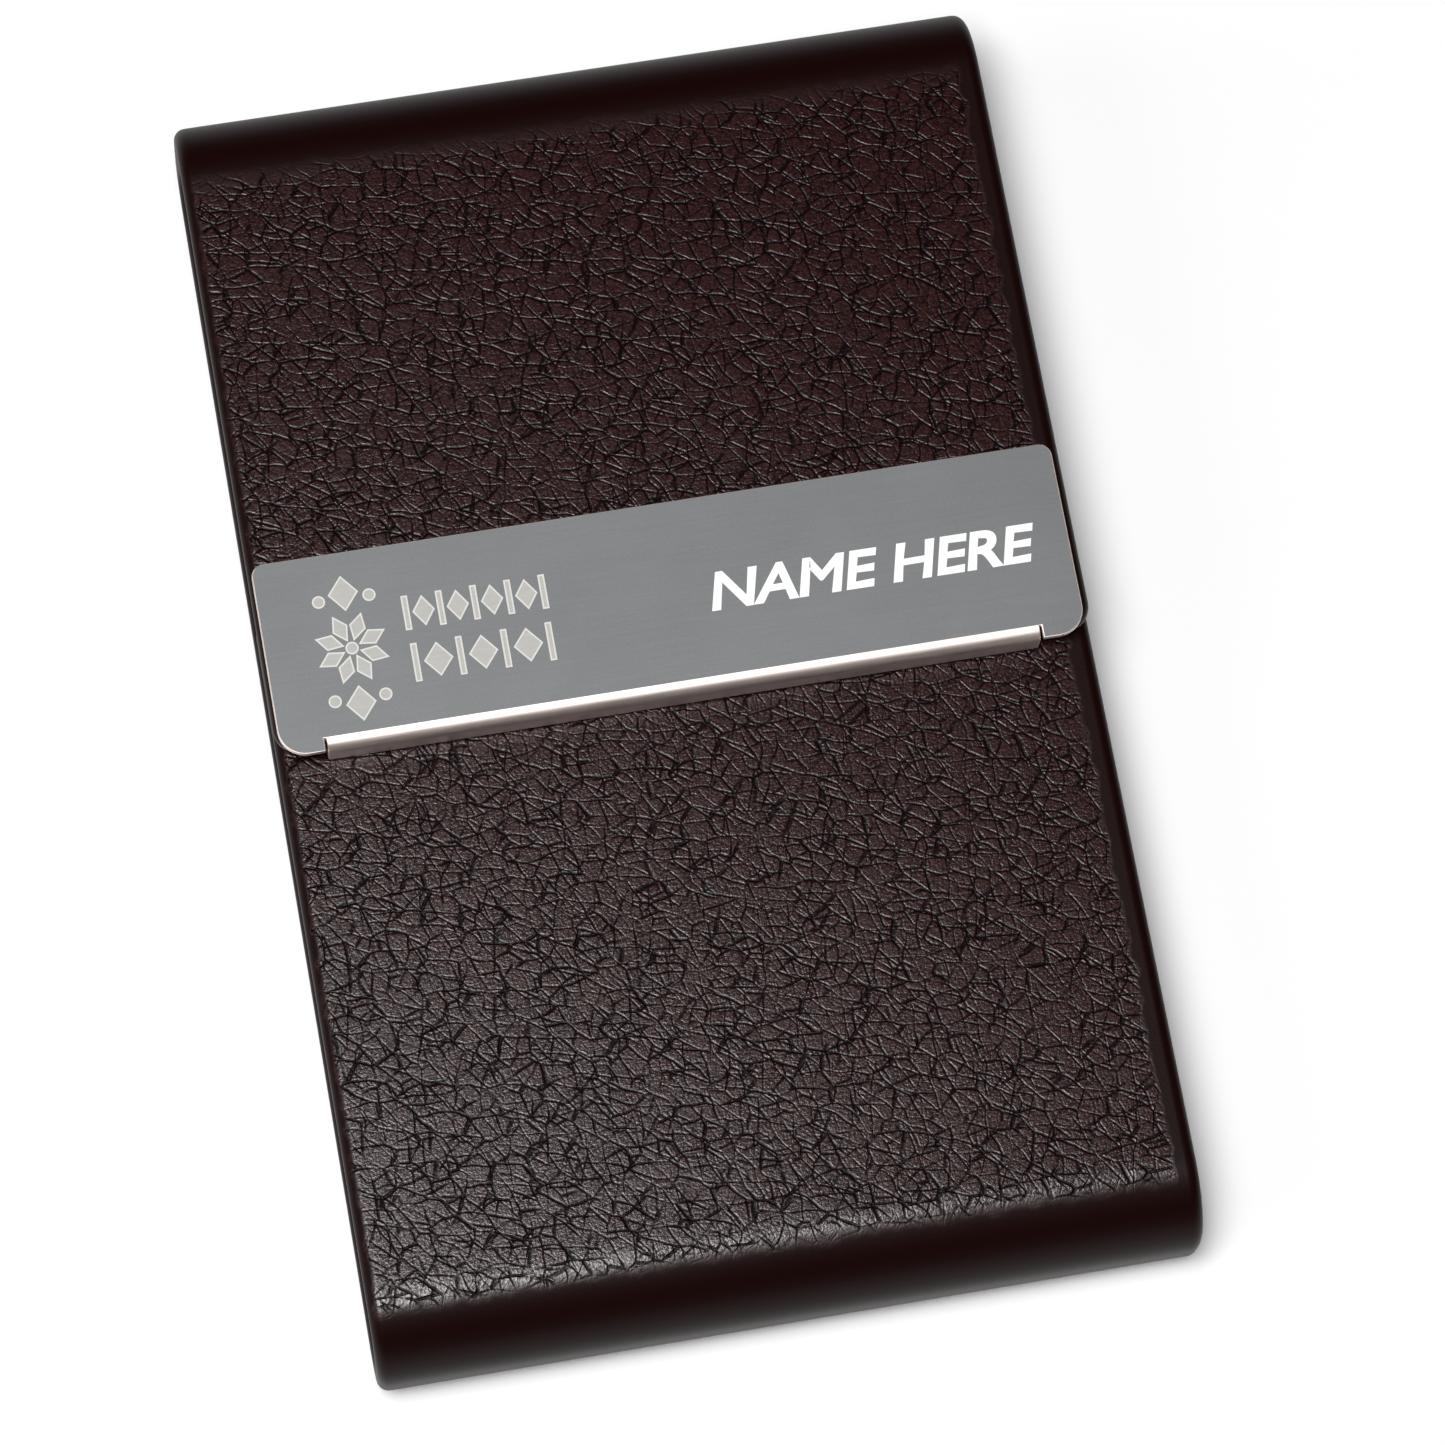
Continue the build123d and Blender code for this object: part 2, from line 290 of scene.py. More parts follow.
def creases(tree, place, slant, long_mm, short_mm, wide_mm):
    """1 in the creases and 0 between them, for long cells that lie at one slant."""
    turned = add_node(
        tree, "ShaderNodeMapping", {"Vector": place, "Rotation": (0, 0, radians(-slant))}
    )
    cells_per_metre = (per_mm(long_mm), per_mm(short_mm), 0.0)
    stretched = add_node(
        tree, "ShaderNodeVectorMath", {0: turned, 1: cells_per_metre}, operation="MULTIPLY"
    )
    cells = add_node(
        tree,
        "ShaderNodeTexVoronoi",
        {"Vector": stretched, "Scale": 1.0},
        feature="DISTANCE_TO_EDGE",
        voronoi_dimensions="2D",
    )
    return add_node(
        tree,
        "ShaderNodeMapRange",
        {"Value": cells, "From Min": 0.0, "From Max": wide_mm / short_mm, "To Min": 1.0, "To Max": 0.0},
        interpolation_type="SMOOTHSTEP",
    )


leather, tree, place = new_material("embossed_pu_leather")

# The smooth strips: the grain fades out 1 mm from the left side, 2 mm from the right, 5 mm from
# the closed end and 8 mm from the hinge end, along ragged lines.
GRAIN_OFF_CENTRE = 0.6
RAGGED_BY = 1.2
grain_ends = (
    ("X", 1, HALF_W - 0.9, 0.5),
    ("X", -1, HALF_W - 0.9, 0.5),
    ("Y", 1, HALF_L - FRONT_R - 1.3, 2.4),
    ("Y", -1, HALF_L - FRONT_R + 1.5, 1.2),
)
off_centre = add_node(
    tree, "ShaderNodeVectorMath", {0: place, 1: (GRAIN_OFF_CENTRE * MM, 0, 0)}, operation="ADD"
)
axes = add_node(tree, "ShaderNodeSeparateXYZ", {"Vector": off_centre})
ragged = add_node(tree, "ShaderNodeTexNoise", {"Vector": place, "Scale": per_mm(1.4), "Detail": 2.0})
ragged = add_node(tree, "ShaderNodeMath", {0: ragged, 1: RAGGED_BY * MM}, operation="MULTIPLY")
grain_area = 1.0
for axis, side, where, fade in grain_ends:
    away = add_node(
        tree, "ShaderNodeMath", {0: axes.outputs[axis], 1: side, 2: ragged}, operation="MULTIPLY_ADD"
    )
    inside = add_node(
        tree,
        "ShaderNodeMapRange",
        {
            "Value": away,
            "From Min": where * MM,
            "From Max": (where + fade) * MM,
            "To Min": 1.0,
            "To Max": 0.0,
        },
        interpolation_type="SMOOTHSTEP",
    )
    grain_area = add_node(tree, "ShaderNodeMath", {0: inside, 1: grain_area}, operation="MULTIPLY")

# Each family of creases has a slant in degrees, long and short cell sizes and a line width in
# mm, and a depth. It comes and goes over patches 2 to 3 mm across. The last one is the fine folds.
wander = wandering(tree, place, 2.4, 0.36)
small_wander = wandering(tree, place, 0.8, 0.16)
crease_depth = 0.0
for seed, path, slant, long_mm, short_mm, wide_mm, depth in (
    (0.1, wander, -10, 2.7, 1.20, 0.12, 0.42),
    (0.2, wander, -54, 2.5, 1.25, 0.12, 0.38),
    (0.3, wander, 78, 2.2, 1.40, 0.11, 0.30),
    (0.4, small_wander, 24, 1.0, 0.55, 0.08, 0.10),
):
    family = creases(tree, path, slant, long_mm, short_mm, wide_mm)
    patch_place = add_node(
        tree, "ShaderNodeVectorMath", {0: place, 1: (seed, seed, 0)}, operation="ADD"
    )
    patch = add_node(
        tree, "ShaderNodeTexNoise", {"Vector": patch_place, "Scale": per_mm(2.4), "Detail": 1.0}
    )
    patch = add_node(
        tree,
        "ShaderNodeMapRange",
        {"Value": patch, "From Min": 0.42, "From Max": 0.64, "To Min": 0.16 * depth, "To Max": depth},
    )
    crease_depth = add_node(
        tree, "ShaderNodeMath", {0: family, 1: patch, 2: crease_depth}, operation="MULTIPLY_ADD"
    )
crease_depth = add_node(
    tree, "ShaderNodeMath", {0: crease_depth, 1: grain_area}, operation="MULTIPLY"
)

# The hinge crease is a shallow groove pressed across the hinge end, 0.5 mm wide.
GROOVE_HALF_W = 0.25
end_axes = add_node(tree, "ShaderNodeSeparateXYZ", {"Vector": place})
at_end = add_node(
    tree, "ShaderNodeMath", {0: end_axes.outputs["Y"], 1: (HALF_L - 1) * MM}, operation="GREATER_THAN"
)
from_crease = add_node(
    tree, "ShaderNodeMath", {0: end_axes.outputs["Z"], 1: CREASE_Z * MM}, operation="SUBTRACT"
)
from_crease = add_node(tree, "ShaderNodeMath", {0: from_crease}, operation="ABSOLUTE")
groove = add_node(
    tree,
    "ShaderNodeMapRange",
    {"Value": from_crease, "From Min": 0.0, "From Max": GROOVE_HALF_W * MM, "To Min": 0.8, "To Max": 0.0},
    interpolation_type="SMOOTHSTEP",
)
crease_depth = add_node(
    tree, "ShaderNodeMath", {0: groove, 1: at_end, 2: crease_depth}, operation="MULTIPLY_ADD"
)

# Mottle on the cell tops, 0.15 to 0.3 mm across, in the height, the tint and the shine. It is
# fainter on the smooth strips.
RELIEF = 0.08
mottle = add_node(
    tree, "ShaderNodeTexNoise", {"Vector": place, "Scale": per_mm(0.22), "Detail": 2.0, "Roughness": 0.6}
)
mottle_depth = add_node(
    tree,
    "ShaderNodeMapRange",
    {"Value": grain_area, "From Min": 0.0, "From Max": 1.0, "To Min": 0.10, "To Max": 0.32},
)
heights = add_node(tree, "ShaderNodeMath", {0: mottle, 1: 0.5}, operation="SUBTRACT")
heights = add_node(tree, "ShaderNodeMath", {0: heights, 1: mottle_depth}, operation="MULTIPLY")
heights = add_node(tree, "ShaderNodeMath", {0: heights, 1: crease_depth}, operation="SUBTRACT")
bump = add_node(tree, "ShaderNodeBump", {"Height": heights, "Distance": RELIEF * MM})

tops = add_node(
    tree,
    "ShaderNodeMix",
    {"Factor": grain_area, "A": hex_colour("#150403"), "B": hex_colour("#2b0c0a")},
    data_type="RGBA",
)
patchy = add_node(
    tree,
    "ShaderNodeMapRange",
    {"Value": mottle, "From Min": 0.38, "From Max": 0.62, "To Min": 0.60, "To Max": 0.0},
)
patchy = add_node(tree, "ShaderNodeMath", {0: patchy, 1: grain_area}, operation="MULTIPLY")
# Painted shade: the creases are mixed towards a near-black brown, and the mottle also darkens the tint at
# random.
crease_shade_and_mottle = add_node(
    tree, "ShaderNodeMath", {0: crease_depth, 1: 3.2, 2: patchy}, operation="MULTIPLY_ADD", use_clamp=True
)
colour = add_node(
    tree,
    "ShaderNodeMix",
    {"Factor": crease_shade_and_mottle, "A": tops, "B": hex_colour("#0d0303")},
    data_type="RGBA",
)

# The top coat is thin: the grain's tops shine, and its creases and the smooth strips stay dull.
top_coat = add_node(
    tree,
    "ShaderNodeMapRange",
    {"Value": grain_area, "From Min": 0.0, "From Max": 1.0, "To Min": 0.12, "To Max": 0.75},
)
in_the_light = add_node(
    tree, "ShaderNodeMath", {0: crease_shade_and_mottle, 1: -0.85, 2: 1.0}, operation="MULTIPLY_ADD"
)
top_coat = add_node(tree, "ShaderNodeMath", {0: top_coat, 1: in_the_light}, operation="MULTIPLY")
gloss = add_node(
    tree,
    "ShaderNodeMapRange",
    {"Value": grain_area, "From Min": 0.0, "From Max": 1.0, "To Min": 0.42, "To Max": 0.25},
)
gloss = add_node(tree, "ShaderNodeMath", {0: crease_depth, 1: 0.2, 2: gloss}, operation="MULTIPLY_ADD")
shader = add_node(
    tree,
    "ShaderNodeBsdfPrincipled",
    {"Base Color": colour, "Roughness": gloss, "Specular IOR Level": top_coat, "Normal": bump},
)
shader.inputs["IOR"].default_value = 1.45
add_node(tree, "ShaderNodeOutputMaterial", {"Surface": shader})

case_skin.data.materials.append(leather)
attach(case_skin, "case_body")
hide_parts("case_leather")


# ---- Leather of the flap ------------------------------------------------------------------
# The same hide carries on above the crease, round the hinge end and down the front, and its
# crease is the hinge. It is folded round its own board like the rest.
flap_low, flap_high = node_box("flap_leather")
FLAP_EDGE_Y = flap_low[1]
FLAP_TOP = flap_high[2]
FLAP_CORNER_R = 2.0
flap_skin = start_section("flap_leather_skin", HALF_W, inner_y, SEAM_Z, COVER_T, TURNED_R, CELLS_ACROSS)
run(z=FLAP_TOP - FRONT_R - SEAM_Z, steps=12)
bend(HALF_L - FRONT_R, FLAP_TOP - FRONT_R, 90)
run(y=-(HALF_L - FRONT_R - FLAP_EDGE_Y - FLAP_CORNER_R), steps=44)
rounded_end(-1, FLAP_TOP - COVER_T / 2, COVER_T, HALF_W, FLAP_CORNER_R, TURNED_R, 10)
finish_mesh(flap_skin)
check_solid(flap_skin)
flap_skin.data.materials.append(leather)
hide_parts("flap_leather")
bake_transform(flap_skin)


# ---- Name plate ---------------------------------------------------------------------------
# A blank of brushed stainless steel, glued over the flap's free edge. Its lower edge is bent
# down between two relief notches, and its punched edges are tumbled round and bright.
plate_low, plate_high = node_box("name_plate")
PLATE_LEFT, PLATE_LOW_Y, LIP_END_Z = plate_low
PLATE_RIGHT, PLATE_TOP_Y, PLATE_TOP_Z = plate_high
PLATE_W = PLATE_RIGHT - PLATE_LEFT
PLATE_X = (PLATE_LEFT + PLATE_RIGHT) / 2
PLATE_MID_Y = (PLATE_TOP_Y + PLATE_LOW_Y) / 2
PLATE_T = 0.5
PLATE_MID_Z = PLATE_TOP_Z - PLATE_T / 2
PLATE_TOP_CORNER_R = 1.0
PLATE_LOW_CORNER_R = 2.1
LIP_HALF_W = 27.0
LIP_R = 1.0
NOTCH_W = 0.16
NOTCH_PAST_BEND = 0.05
ROUNDED_EDGE = 0.24


def pick(piece, kind, test):
    """Selects the vertices, edges or faces whose middle, in mm, passes a test."""
    bpy.ops.mesh.select_all(action="DESELECT")
    bpy.ops.mesh.select_mode(type=kind)
    mesh = bmesh.from_edit_mesh(piece.data)
    if kind == "VERT":
        for vertex in mesh.verts:
            vertex.select = test(vertex.co / MM)
    elif kind == "EDGE":
        for edge in mesh.edges:
            edge.select = test((edge.verts[0].co + edge.verts[1].co) / 2 / MM)
    else:
        for face in mesh.faces:
            face.select = test(face.calc_center_median() / MM)
    mesh.select_flush_mode()
    bmesh.update_edit_mesh(piece.data)


def apply_modifier(piece, kind, **settings):
    """Adds one modifier and applies it."""
    bpy.ops.object.select_all(action="DESELECT")
    bpy.context.view_layer.objects.active = piece
    piece.select_set(True)
    modifier = piece.modifiers.new(kind.lower(), kind)
    for key, value in settings.items():
        setattr(modifier, key, value)
    bpy.ops.object.modifier_apply(modifier=modifier.name)
    piece.select_set(False)


bpy.ops.object.select_all(action="DESELECT")
bpy.ops.mesh.primitive_plane_add(size=1, location=(PLATE_X * MM, PLATE_MID_Y * MM, PLATE_MID_Z * MM))
plate = bpy.context.object
plate.name = "brushed_name_plate"
plate.scale = (PLATE_W * MM, (PLATE_TOP_Y - PLATE_LOW_Y) * MM, 1)
bpy.ops.object.transform_apply(location=True, rotation=True, scale=True)
bpy.ops.object.mode_set(mode="EDIT")
for top, radius in ((True, PLATE_TOP_CORNER_R), (False, PLATE_LOW_CORNER_R)):
    pick(plate, "VERT", lambda p: (p.y > PLATE_MID_Y) == top and abs(p.x - PLATE_X) > PLATE_W / 2 - NEAR)
    bpy.ops.mesh.bevel(offset=radius * MM, segments=8, affect="VERTICES")
bend_y = PLATE_LOW_Y + LIP_R
notch_end_y = bend_y + NOTCH_PAST_BEND
for x in (-LIP_HALF_W - NOTCH_W, -LIP_HALF_W, LIP_HALF_W, LIP_HALF_W + NOTCH_W):
    bpy.ops.mesh.select_all(action="SELECT")
    bpy.ops.mesh.bisect(plane_co=((PLATE_X + x) * MM, 0, 0), plane_no=(1, 0, 0))
for y in (bend_y, notch_end_y):
    bpy.ops.mesh.select_all(action="SELECT")
    bpy.ops.mesh.bisect(plane_co=(0, y * MM, 0), plane_no=(0, 1, 0))
pick(
    plate,
    "FACE",
    lambda p: (abs(p.x - PLATE_X) < LIP_HALF_W and p.y < bend_y)
    or (LIP_HALF_W < abs(p.x - PLATE_X) < LIP_HALF_W + NOTCH_W and p.y < notch_end_y),
)
bpy.ops.mesh.delete(type="FACE")
pick(plate, "EDGE", lambda p: abs(p.y - bend_y) < NEAR and abs(p.x - PLATE_X) < LIP_HALF_W)
bend(bend_y, PLATE_TOP_Z - LIP_R, 90, 10)
run(z=LIP_END_Z - PLATE_TOP_Z + LIP_R)
finish_mesh(plate)
apply_modifier(plate, "SOLIDIFY", thickness=PLATE_T * MM, offset=0)
apply_modifier(
    plate,
    "BEVEL",
    width=ROUNDED_EDGE * MM,
    segments=4,
    profile=0.35,
    limit_method="ANGLE",
    angle_limit=radians(40),
)
smooth(plate)
apply_modifier(plate, "WEIGHTED_NORMAL", keep_sharp=True, weight=100)
check_solid(plate)

# Brushed stainless steel: fine lines from an abrasive belt run along the plate and spread the
# light, with faint clouds from handling. The face reads as an even grey. Real lines are about
# 0.03 mm apart, which is too fine to show, so they are drawn 0.11 mm apart.
brushed_steel, tree, place = new_material("brushed_stainless_steel")
lines_place = add_node(tree, "ShaderNodeMapping", {"Vector": place, "Scale": (0.02, 1.0, 1.0)})
belt_lines = add_node(
    tree, "ShaderNodeTexNoise", {"Vector": lines_place, "Scale": per_mm(0.11), "Detail": 3.0}
)
clouds = add_node(tree, "ShaderNodeTexNoise", {"Vector": place, "Scale": per_mm(6.0), "Detail": 4.0})
speckle = add_node(tree, "ShaderNodeTexNoise", {"Vector": place, "Scale": per_mm(0.2), "Detail": 2.0})
shade = add_node(tree, "ShaderNodeMath", {0: belt_lines, 1: 0.3}, operation="MULTIPLY")
shade = add_node(tree, "ShaderNodeMath", {0: clouds, 1: 0.3, 2: shade}, operation="MULTIPLY_ADD")
shade = add_node(tree, "ShaderNodeMath", {0: speckle, 1: 0.4, 2: shade}, operation="MULTIPLY_ADD")
colour = add_node(tree, "ShaderNodeValToRGB", {"Fac": shade})
colour.color_ramp.elements[0].position = 0.35
colour.color_ramp.elements[0].color = hex_colour("#7f8182")
colour.color_ramp.elements[1].position = 0.65
colour.color_ramp.elements[1].color = hex_colour("#888a8b")
bump = add_node(tree, "ShaderNodeBump", {"Height": belt_lines, "Distance": 0.0015 * MM})
shader = add_node(
    tree,
    "ShaderNodeBsdfPrincipled",
    {"Base Color": colour, "Metallic": 1.0, "Roughness": 0.66, "Normal": bump},
)
add_node(tree, "ShaderNodeOutputMaterial", {"Surface": shader})

# Tumbled steel: the edges and the bent lip have no brush lines and mirror the table softly. The
# faint draw marks along them are drawn 0.17 mm apart, which is coarser than real ones.
bright_steel, tree, place = new_material("tumbled_bright_steel")
draw_lines_place = add_node(tree, "ShaderNodeMapping", {"Vector": place, "Scale": (0.05, 1.0, 1.0)})
draw_lines = add_node(
    tree, "ShaderNodeTexNoise", {"Vector": draw_lines_place, "Scale": per_mm(0.17), "Detail": 2.0}
)
gloss = add_node(
    tree,
    "ShaderNodeMapRange",
    {"Value": draw_lines, "From Min": 0.3, "From Max": 0.7, "To Min": 0.46, "To Max": 0.54},
)
# The steel's warm pink tint is a painted reflection of the brown leather.
shader = add_node(
    tree,
    "ShaderNodeBsdfPrincipled",
    {"Base Color": hex_colour("#efdfd8"), "Metallic": 1.0, "Roughness": gloss},
)
add_node(tree, "ShaderNodeOutputMaterial", {"Surface": shader})

plate.data.materials.append(brushed_steel)
plate.data.materials.append(bright_steel)
for face in plate.data.polygons:
    faces_up = face.normal.z > 0.999
    face.material_index = 0 if faces_up else 1
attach(plate, "flap")
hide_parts("name_plate")


# ---- Etched ornament and printed name -----------------------------------------------------
# The maker's side of the plate is laser-etched to a pale frosted white: a tall rosette and two
# rows of lozenges and bars. The owner's side is screen-printed in white with a sample name.
MARK_T = 0.03
MARK_RIM = 0.12
MARK_Z = PLATE_TOP_Z - MARK_T * 0.3
ROSETTE_X = PLATE_LEFT + 6.5
LEAVES = 8
LEAF_REACH = 1.72
LEAF_SIZE = (2.30, 1.28)
BOSS = 1.0
LOZENGE_SIZE = (2.3, 2.8)
LOZENGE_REACH = 4.3
BUD_PLACE = (1.9, 3.9)


def raise_marks(piece, rim):
    """Turns flat outlines into thin closed marks, and leaves the faces inside their rims selected."""
    bpy.ops.object.mode_set(mode="EDIT")
    bpy.ops.mesh.select_all(action="SELECT")
    bpy.ops.mesh.extrude_region_move(TRANSFORM_OT_translate={"value": (0, 0, MARK_T * MM)})
    bpy.ops.mesh.select_all(action="SELECT")
    bpy.ops.mesh.normals_make_consistent(inside=False)
    pick(piece, "FACE", lambda p: p.z > PLATE_TOP_Z + MARK_T * 0.6)
    bpy.ops.mesh.inset(thickness=rim * MM, use_individual=True)
    bpy.ops.object.mode_set(mode="OBJECT")


marks = []


def flat_mark(sides, x, y, wide, tall, turn=0.0, first_turn=0.0):
    """A flat outline with so many corners, at a place on the plate."""
    bpy.ops.object.select_all(action="DESELECT")
    bpy.ops.mesh.primitive_circle_add(
        vertices=sides, radius=0.5, fill_type="NGON", rotation=(0, 0, radians(first_turn))
    )
    mark = bpy.context.object
    bpy.ops.object.transform_apply(location=True, rotation=True, scale=True)
    mark.scale = (wide * MM, tall * MM, 1)
    mark.rotation_euler.z = radians(turn)
    mark.location = (x * MM, y * MM, MARK_Z * MM)
    bpy.ops.object.transform_apply(location=True, rotation=True, scale=True)
    marks.append(mark)


# Eight pointed leaves round a boss, with a lozenge and two buds above and below them
for i in range(LEAVES):
    turn = (i + 0.5) * 360 / LEAVES
    leaf_x = ROSETTE_X + LEAF_REACH * cos(radians(turn))
    leaf_y = PLATE_MID_Y + LEAF_REACH * sin(radians(turn))
    flat_mark(4, leaf_x, leaf_y, *LEAF_SIZE, turn)
flat_mark(24, ROSETTE_X, PLATE_MID_Y, BOSS, BOSS)
for side in (-1, 1):
    flat_mark(4, ROSETTE_X, PLATE_MID_Y + side * LOZENGE_REACH, *LOZENGE_SIZE)
    for across in (-1, 1):
        bud_x = ROSETTE_X + across * BUD_PLACE[0]
        flat_mark(16, bud_x, PLATE_MID_Y + side * BUD_PLACE[1], BOSS, BOSS)

# Two rows of lozenges between upright bars
ROW_LEFT = PLATE_LEFT + 10.6
ROW_W = 11.0
BAR_W = 0.5
SQUARE = sqrt(2)
for row_y, pairs, tall in ((2.05, 4, 2.7), (-1.85, 3, 3.0)):
    pitch = ROW_W / (pairs + 0.25)
    for i in range(pairs + 1):
        bar_x = ROW_LEFT + (i + 0.125) * pitch
        flat_mark(4, bar_x, PLATE_MID_Y + row_y, BAR_W * SQUARE, tall * SQUARE, first_turn=45)
        if i < pairs:
            flat_mark(4, bar_x + pitch / 2, PLATE_MID_Y + row_y, pitch * 0.66, tall * 0.9)
bpy.ops.object.select_all(action="DESELECT")
for mark in marks:
    mark.select_set(True)
ornament = marks[0]
bpy.context.view_layer.objects.active = ornament
bpy.ops.object.join()
ornament.name = "etched_ornament"
raise_marks(ornament, MARK_RIM)
check_solid(ornament)

# Laser-etched steel: a frosted skin that scatters the light evenly, hatched by the beam, and a
# paler line where the beam traced each outline.
for name, low, high in (
    ("frosted_etched_steel", "#a9a8a4", "#bcbab5"),
    ("traced_etched_steel", "#cfcec9", "#dddbd6"),
):
    material, tree, place = new_material(name)
    hatch_place = add_node(
        tree,
        "ShaderNodeMapping",
        {"Vector": place, "Rotation": (0, 0, radians(-35)), "Scale": (0.15, 1.0, 1.0)},
    )
    hatch = add_node(
        tree, "ShaderNodeTexNoise", {"Vector": hatch_place, "Scale": per_mm(0.2), "Detail": 2.0}
    )
    colour = add_node(
        tree,
        "ShaderNodeMix",
        {"Factor": hatch, "A": hex_colour(low), "B": hex_colour(high)},
        data_type="RGBA",
    )
    bump = add_node(tree, "ShaderNodeBump", {"Height": hatch, "Distance": 0.01 * MM})
    shader = add_node(
        tree, "ShaderNodeBsdfPrincipled", {"Base Color": colour, "Roughness": 0.6, "Normal": bump}
    )
    add_node(tree, "ShaderNodeOutputMaterial", {"Surface": shader})
    ornament.data.materials.append(material)
for face in ornament.data.polygons:
    face.material_index = 0 if face.select else 1
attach(ornament, "flap")

NAME_CAP = 3.0
NAME_W = 25.0
NAME_X = PLATE_LEFT + 46.0
STROKE_SPREAD = 0.13
BLOCK_T = 1.0
bpy.ops.object.select_all(action="DESELECT")
bpy.ops.object.text_add(location=(0, 0, 0))
lettering = bpy.context.object
lettering.name = "printed_sample_name"
lettering.data.body = "NAME HERE"
lettering.data.shear = 0.22
lettering.data.extrude = BLOCK_T / 2
lettering.data.align_x = "CENTER"
lettering.data.resolution_u = 6
bpy.ops.object.convert(target="MESH")
corners = [Vector(corner) for corner in lettering.bound_box]
low, high = corners[0], corners[6]
inner_w = NAME_W - 2 * STROKE_SPREAD
inner_cap = NAME_CAP - 2 * STROKE_SPREAD
lettering.scale = (inner_w * MM / (high.x - low.x), inner_cap * MM / (high.y - low.y), MM)
lettering.location = (
    NAME_X * MM - (low.x + high.x) / 2 * lettering.scale.x,
    PLATE_MID_Y * MM - (low.y + high.y) / 2 * lettering.scale.y,
    PLATE_TOP_Z * MM,
)
bpy.ops.object.transform_apply(location=True, rotation=True, scale=True)

# The printed strokes are bold: the outlines are spread evenly, and the block is pressed flat
bpy.ops.object.mode_set(mode="EDIT")
bpy.ops.mesh.select_all(action="SELECT")
bpy.ops.mesh.remove_doubles(threshold=0.002 * MM)
bpy.ops.mesh.normals_make_consistent(inside=False)
bpy.ops.transform.shrink_fatten(value=STROKE_SPREAD * MM, use_even_offset=True)
bpy.ops.transform.resize(
    value=(1, 1, MARK_T / (BLOCK_T + 2 * STROKE_SPREAD)), center_override=(0, 0, PLATE_TOP_Z * MM)
)
bpy.ops.transform.translate(value=(0, 0, 0.2 * MARK_T * MM))
bpy.ops.object.mode_set(mode="OBJECT")
check_solid(lettering)

# Screen-printed epoxy ink: dense white with the fine tooth of the mesh. The tooth is drawn
# 0.17 mm across, because a real mesh is too fine to show.
ink, tree, place = new_material("white_screen_ink")
tooth = add_node(tree, "ShaderNodeTexNoise", {"Vector": place, "Scale": per_mm(0.17), "Detail": 1.0})
colour = add_node(
    tree,
    "ShaderNodeMix",
    {"Factor": tooth, "A": hex_colour("#f2f2f0"), "B": hex_colour("#ffffff")},
    data_type="RGBA",
)
bump = add_node(tree, "ShaderNodeBump", {"Height": tooth, "Distance": 0.004 * MM})
shader = add_node(
    tree, "ShaderNodeBsdfPrincipled", {"Base Color": colour, "Roughness": 0.5, "Normal": bump}
)
add_node(tree, "ShaderNodeOutputMaterial", {"Surface": shader})
lettering.data.materials.append(ink)
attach(lettering, "flap")


# ---- Velvet linings -----------------------------------------------------------------------
# Flocked velvet lines the flap and the pocket. Each lining is one strip glued over the boards
# with its edges under the leather's turned-in border, and it stands a pile's height proud.
LINING_HALF_W = 28.0
LINING_BORDER = 3.2
LINING_T = 0.45
PILE = 0.12
LINING_MID = COVER_T - LINING_T / 2 + PILE
LINING_EDGE_R = 0.18
LINING_CORNER_R = 1.0
LINING_CELLS = 28
FLAP_LINING_LOW_Z = CREASE_Z + 1.05
POCKET_LINING_LOW_Z = 4.5

lining_y = HALF_L - LINING_MID
flap_lining = start_section(
    "flap_velvet", LINING_HALF_W, lining_y, FLAP_LINING_LOW_Z, LINING_T, LINING_EDGE_R, LINING_CELLS
)
bend(HALF_L - FRONT_R, FLAP_TOP - FRONT_R, 90)
run(y=-(HALF_L - FRONT_R - FLAP_EDGE_Y - LINING_BORDER - LINING_CORNER_R), steps=30)
rounded_end(
    -1, FLAP_TOP - LINING_MID, LINING_T, LINING_HALF_W, LINING_CORNER_R, LINING_EDGE_R, 6
)
finish_mesh(flap_lining)
check_solid(flap_lining)

pocket_lining = start_section(
    "pocket_velvet",
    LINING_HALF_W,
    -lining_y,
    POCKET_LINING_LOW_Z,
    LINING_T,
    LINING_EDGE_R,
    LINING_CELLS,
)
run(z=POCKET_TOP - FRONT_R - POCKET_LINING_LOW_Z, steps=2)
bend(-HALF_L + FRONT_R, POCKET_TOP - FRONT_R, -90)
run(y=MOUTH_Y - LINING_BORDER - LINING_CORNER_R + HALF_L - FRONT_R, steps=34)
rounded_end(
    1, POCKET_TOP - LINING_MID, LINING_T, LINING_HALF_W, LINING_CORNER_R, LINING_EDGE_R, 6
)
finish_mesh(pocket_lining)
check_solid(pocket_lining)

# Flocked velvet: nylon fibres 0.4 mm long stand in glue. The shade from the way they lean is
# painted into the colour, in soft swept patches, and their tips catch the light at a low angle.
# One fibre is too fine to show, so small tufts of them are drawn, 0.18 mm across.
velvet, tree, place = new_material("flocked_velvet")
swept_place = add_node(
    tree,
    "ShaderNodeMapping",
    {"Vector": place, "Rotation": (0, 0, radians(20)), "Scale": (1.0, 0.45, 1.0)},
)
swept = add_node(tree, "ShaderNodeTexNoise", {"Vector": swept_place, "Scale": per_mm(8.0), "Detail": 3.0})
fibres = add_node(tree, "ShaderNodeTexNoise", {"Vector": place, "Scale": per_mm(0.18), "Detail": 2.0})
painted_lean_shade = add_node(tree, "ShaderNodeMath", {0: fibres, 1: 0.5}, operation="MULTIPLY")
painted_lean_shade = add_node(tree, "ShaderNodeMath", {0: swept, 1: 0.5, 2: painted_lean_shade}, operation="MULTIPLY_ADD")
painted_lean_shade = add_node(tree, "ShaderNodeMapRange", {"Value": painted_lean_shade, "From Min": 0.36, "From Max": 0.64})
